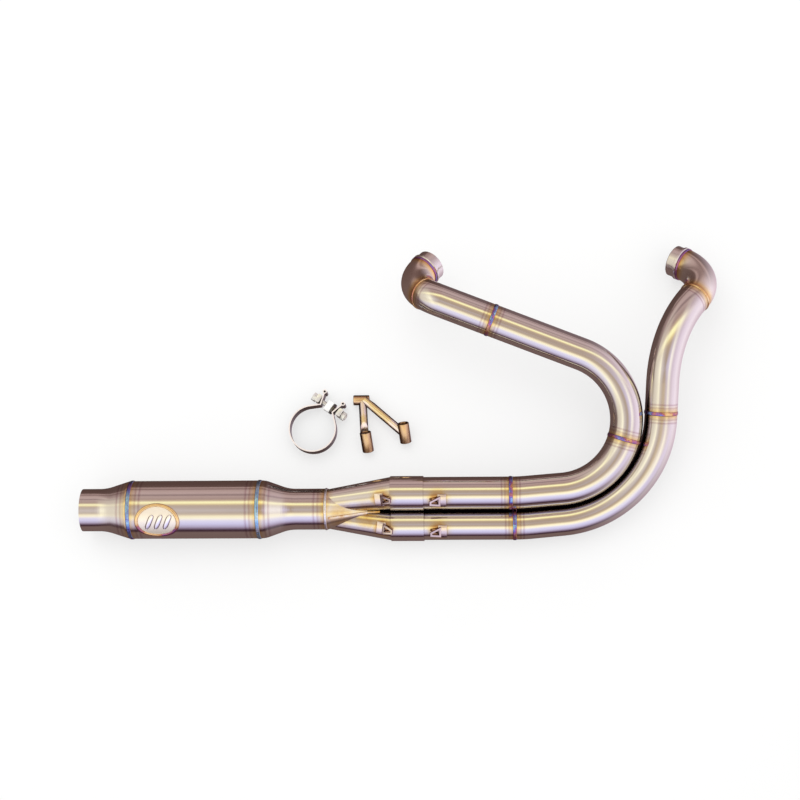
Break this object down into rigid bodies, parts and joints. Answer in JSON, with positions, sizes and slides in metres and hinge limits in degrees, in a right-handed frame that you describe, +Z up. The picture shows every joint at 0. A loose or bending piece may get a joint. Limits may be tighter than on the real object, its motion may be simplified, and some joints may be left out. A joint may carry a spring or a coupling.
{
  "type": "motorcycle exhaust system",
  "caption": "Two-into-one stainless motorcycle exhaust: round muffler with cones, welded collector, slip-fitted headers with heat-tinted welds, a band clamp and a mounting bracket.",
  "frame": {"origin": "centre of the muffler's outlet mouth", "axes": "+X along the muffler towards the engine, +Z up off the bench, +Y from the muffler towards the port ends"},
  "size_m": [0.9903, 0.4658, 0.1513],
  "materials": {
    "muffler_steel": "polished stainless, faint brushing",
    "tube_steel": "polished stainless tube with golden heat tint beside the welds",
    "weld_bead": "rippled weld bead, blue and purple heat tint",
    "badge_face": "satin",
    "badge_gold": "heat-tinted rim, gold to purple",
    "inner_steel": "mill finish",
    "glass_wool": "matted fibre",
    "hook_steel": "stamped, golden heat tint",
    "clamp_steel": "zinc plated",
    "dark_steel": "dark plated",
    "bracket_steel": "satin, bronze heat tint"
  },
  "bodies": {
    "muffler": {"outlet_cone": "muffler_steel", "muffler_shell": "muffler_steel", "inlet_cone": "muffler_steel", "muffler_welds": "weld_bead", "badge_plate": "badge_face", "badge_rim": "badge_gold", "perforated_core": "inner_steel", "sound_packing": "glass_wool", "core_support_rings": "inner_steel", "collector_upper_branch": "tube_steel", "collector_lower_branch": "tube_steel", "collector_seam_weld": "weld_bead", "upper_socket": "tube_steel", "lower_socket": "tube_steel", "collector_spring_hooks": "hook_steel"},
    "rear_header": {"rear_port_collar": "tube_steel", "rear_elbow": "tube_steel", "rear_upper_pipe": "tube_steel", "rear_bend_pipe": "tube_steel", "rear_lower_pipe": "tube_steel", "rear_slip_pipe": "tube_steel", "rear_welds": "weld_bead", "rear_spring_hook": "hook_steel"},
    "front_header": {"front_port_collar": "tube_steel", "front_elbow": "tube_steel", "front_upper_pipe": "tube_steel", "front_lower_pipe": "tube_steel", "front_slip_pipe": "tube_steel", "front_welds": "weld_bead", "front_spring_hook": "hook_steel"},
    "clamp": {"clamp_band": "clamp_steel", "clamp_pressure_bars": "clamp_steel", "clamp_collar": "dark_steel"},
    "clamp_bolt": {"clamp_bolt": "clamp_steel"},
    "clamp_nut": {"clamp_nut": "clamp_steel"},
    "clamp_block": {"clamp_reaction_block": "clamp_steel"},
    "bracket": {"bracket_top_boss": "bracket_steel", "bracket_left_boss": "bracket_steel", "bracket_right_boss": "bracket_steel", "bracket_short_arm": "bracket_steel", "bracket_long_arm": "bracket_steel"}
  },
  "joints": [
    {"name": "front_header_slip", "type": "slide", "parent": "muffler", "child": "front_header", "axis": [1, 0, 0], "range_m": [0, 0.045]},
    {"name": "rear_header_slip", "type": "slide", "parent": "muffler", "child": "rear_header", "axis": [1, 0, 0], "range_m": [0, 0.045]},
    {"name": "clamp_lift", "type": "slide", "parent": "muffler", "child": "clamp", "axis": [0, 0, 1], "range_m": [0, 0.1]},
    {"name": "clamp_bolt_turn", "type": "hinge", "parent": "clamp", "child": "clamp_bolt", "pos_m": [0.381, 0.16727, -0.0325], "axis": [-0.8241, 0.5664, 0], "range_deg": [0, 1080]},
    {"name": "clamp_nut_travel", "type": "slide", "parent": "clamp", "child": "clamp_nut", "axis": [0.8241, -0.5664, 0], "range_m": [0, 0.0038]},
    {"name": "clamp_block_swivel", "type": "hinge", "parent": "clamp", "child": "clamp_block", "pos_m": [0.381, 0.16727, -0.0325], "axis": [-0.8241, 0.5664, 0], "range_deg": [0, 180]},
    {"name": "bracket_lift", "type": "slide", "parent": "muffler", "child": "bracket", "axis": [0, 0, 1], "range_m": [0, 0.1]}
  ],
  "couplings": [
    {"joint": "rear_header_slip", "follows": "front_header_slip", "ratio": 1},
    {"joint": "clamp_nut_travel", "follows": "clamp_bolt_turn", "m_per_rad": 0.00019894}
  ]
}
